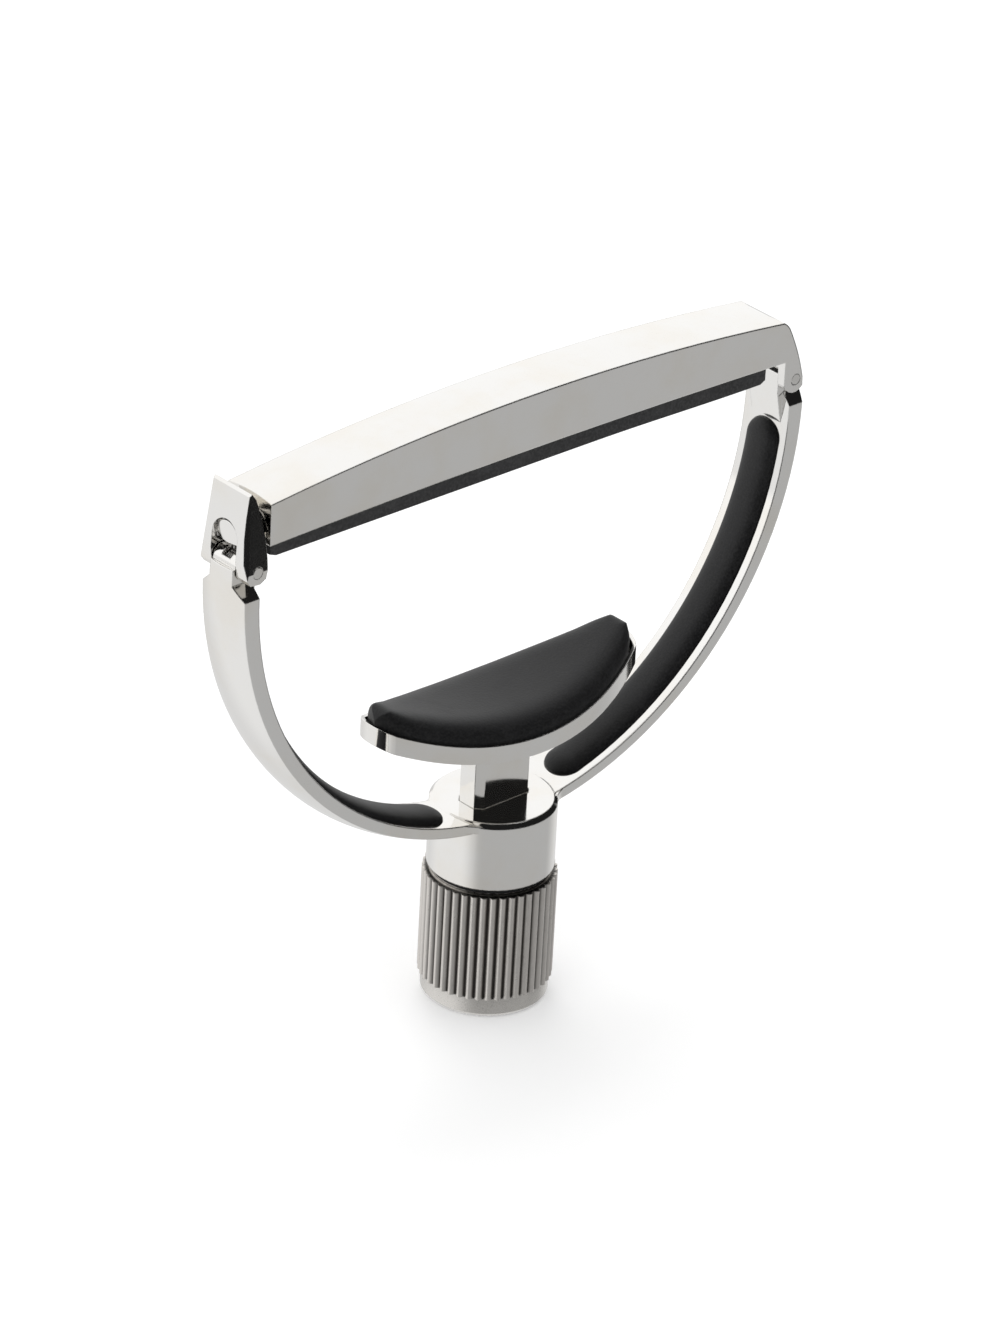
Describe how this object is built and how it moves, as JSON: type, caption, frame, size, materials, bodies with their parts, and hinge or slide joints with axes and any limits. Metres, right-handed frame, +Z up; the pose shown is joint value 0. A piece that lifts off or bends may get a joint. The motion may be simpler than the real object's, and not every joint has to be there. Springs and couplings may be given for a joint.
{
  "type": "guitar capo",
  "caption": "Polished yoke capo: hinged string bar held by a fork latch, rubber-lined arms and a curved saddle raised by a fluted knob under the neck.",
  "frame": {"origin": "on the knob's axis, at the flat bottom face of the knob", "axes": "+X along the string bar from latch to hinge, +Y along the guitar neck, +Z up from the knob to the strings"},
  "size_m": [0.0704, 0.013, 0.065],
  "materials": {
    "polished_metal": "mirror polished plate",
    "satin_metal": "satin nickel plate",
    "steel": "bright turned steel",
    "brass": "machined",
    "rubber": "black moulded rubber, matt"
  },
  "bodies": {
    "yoke": {"yoke_frame": "polished_metal", "arm_pad_left": "rubber", "arm_pad_right": "rubber", "barrel_bush": "brass"},
    "knob": {"knob_core": "satin_metal", "knob_grip": "satin_metal", "knob_cap": "satin_metal", "lead_screw": "steel", "retaining_clip": "steel", "friction_washer": "rubber"},
    "saddle": {"plunger": "polished_metal", "saddle_tray": "polished_metal", "saddle_pad": "rubber", "saddle_screw": "steel"},
    "latch": {"latch": "polished_metal", "latch_pin": "steel", "latch_spring": "steel"},
    "bar": {"string_bar": "polished_metal", "bar_nose": "polished_metal", "pad_carrier": "brass", "string_pad": "rubber", "hinge_pin": "steel", "bar_screws": "steel"}
  },
  "joints": [
    {"name": "knob_turn", "type": "hinge", "parent": "yoke", "child": "knob", "pos_m": [0, 0, 0], "axis": [0, 0, 1], "range_deg": [-1800, 3150]},
    {"name": "saddle_lift", "type": "slide", "parent": "yoke", "child": "saddle", "axis": [0, 0, 1], "range_m": [-0.004, 0.007]},
    {"name": "latch_swing", "type": "hinge", "parent": "yoke", "child": "latch", "pos_m": [-0.03344, 0, 0.05645], "axis": [0, -1, 0], "range_deg": [0, 35]},
    {"name": "bar_open", "type": "hinge", "parent": "yoke", "child": "bar", "pos_m": [0.03344, 0, 0.05645], "axis": [0, 1, 0], "range_deg": [0, 107]}
  ],
  "couplings": [
    {"joint": "saddle_lift", "follows": "knob_turn", "m_per_rad": 0.0001273}
  ]
}
